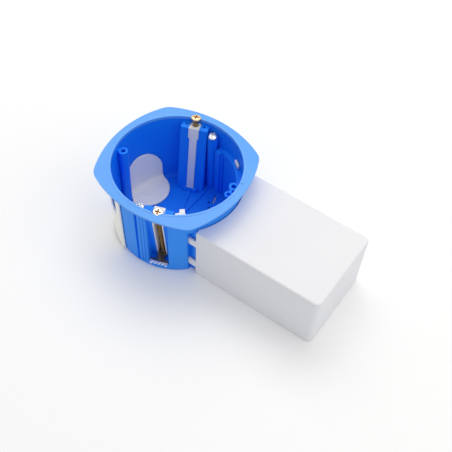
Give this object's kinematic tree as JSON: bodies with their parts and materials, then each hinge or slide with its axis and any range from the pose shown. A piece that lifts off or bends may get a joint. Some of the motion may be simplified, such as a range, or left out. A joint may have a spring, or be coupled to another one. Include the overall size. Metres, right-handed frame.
{
  "type": "flush back box",
  "caption": "Round flush back box for hollow walls with a square flange, leaning claw screws, soft cable entries and a side pocket for a wiring module.",
  "frame": {"origin": "on the axis of the round pot, at the plane of its base", "axes": "+X from the pot towards the pocket, +Z from the base up to the open mouth, +Y completes the right-handed frame"},
  "size_m": [0.1351, 0.0742, 0.0485],
  "materials": {
    "blue_moulding": "satin moulded blue",
    "white_moulding": "fine matt white",
    "soft_entry": "milky soft elastomer",
    "yellow_plated_steel": "pale yellow plating",
    "plated_steel": "bright zinc plating"
  },
  "bodies": {
    "box": {"housing": "blue_moulding", "pocket": "white_moulding", "partition_panel": "blue_moulding", "membrane_back": "soft_entry", "membrane_front": "soft_entry", "claw_guide_back": "white_moulding", "claw_guide_front": "white_moulding"},
    "claw_screw_back": {"claw_screw_back": "yellow_plated_steel"},
    "claw_screw_front": {"claw_screw_front": "yellow_plated_steel"},
    "claw_back": {"claw_back": "plated_steel"},
    "claw_front": {"claw_front": "plated_steel"},
    "device_screw_back": {"device_screw_back": "plated_steel"},
    "device_screw_front": {"device_screw_front": "plated_steel"}
  },
  "joints": [
    {"name": "claw_screw_back_turn", "type": "hinge", "parent": "box", "child": "claw_screw_back", "pos_m": [-0.01074, 0.02951, 0.046], "axis": [-0.0564, 0.1551, 0.9863], "range_deg": [-6840, 0]},
    {"name": "claw_back_slide", "type": "slide", "parent": "box", "child": "claw_back", "axis": [-0.0564, 0.1551, 0.9863], "range_m": [0, 0.02375]},
    {"name": "claw_screw_front_turn", "type": "hinge", "parent": "box", "child": "claw_screw_front", "pos_m": [0.01074, -0.02951, 0.046], "axis": [0.0564, -0.1551, 0.9863], "range_deg": [-7920, 0]},
    {"name": "claw_front_slide", "type": "slide", "parent": "box", "child": "claw_front", "axis": [0.0564, -0.1551, 0.9863], "range_m": [0, 0.0275]},
    {"name": "device_screw_back_out", "type": "slide", "parent": "box", "child": "device_screw_back", "axis": [0, 0, 1], "range_m": [0, 0.015]},
    {"name": "device_screw_front_out", "type": "slide", "parent": "box", "child": "device_screw_front", "axis": [0, 0, 1], "range_m": [0, 0.015]}
  ],
  "couplings": [
    {"joint": "claw_screw_back_turn", "follows": "claw_back_slide", "rad_per_m": -5026.5},
    {"joint": "claw_screw_front_turn", "follows": "claw_front_slide", "rad_per_m": -5026.5}
  ]
}
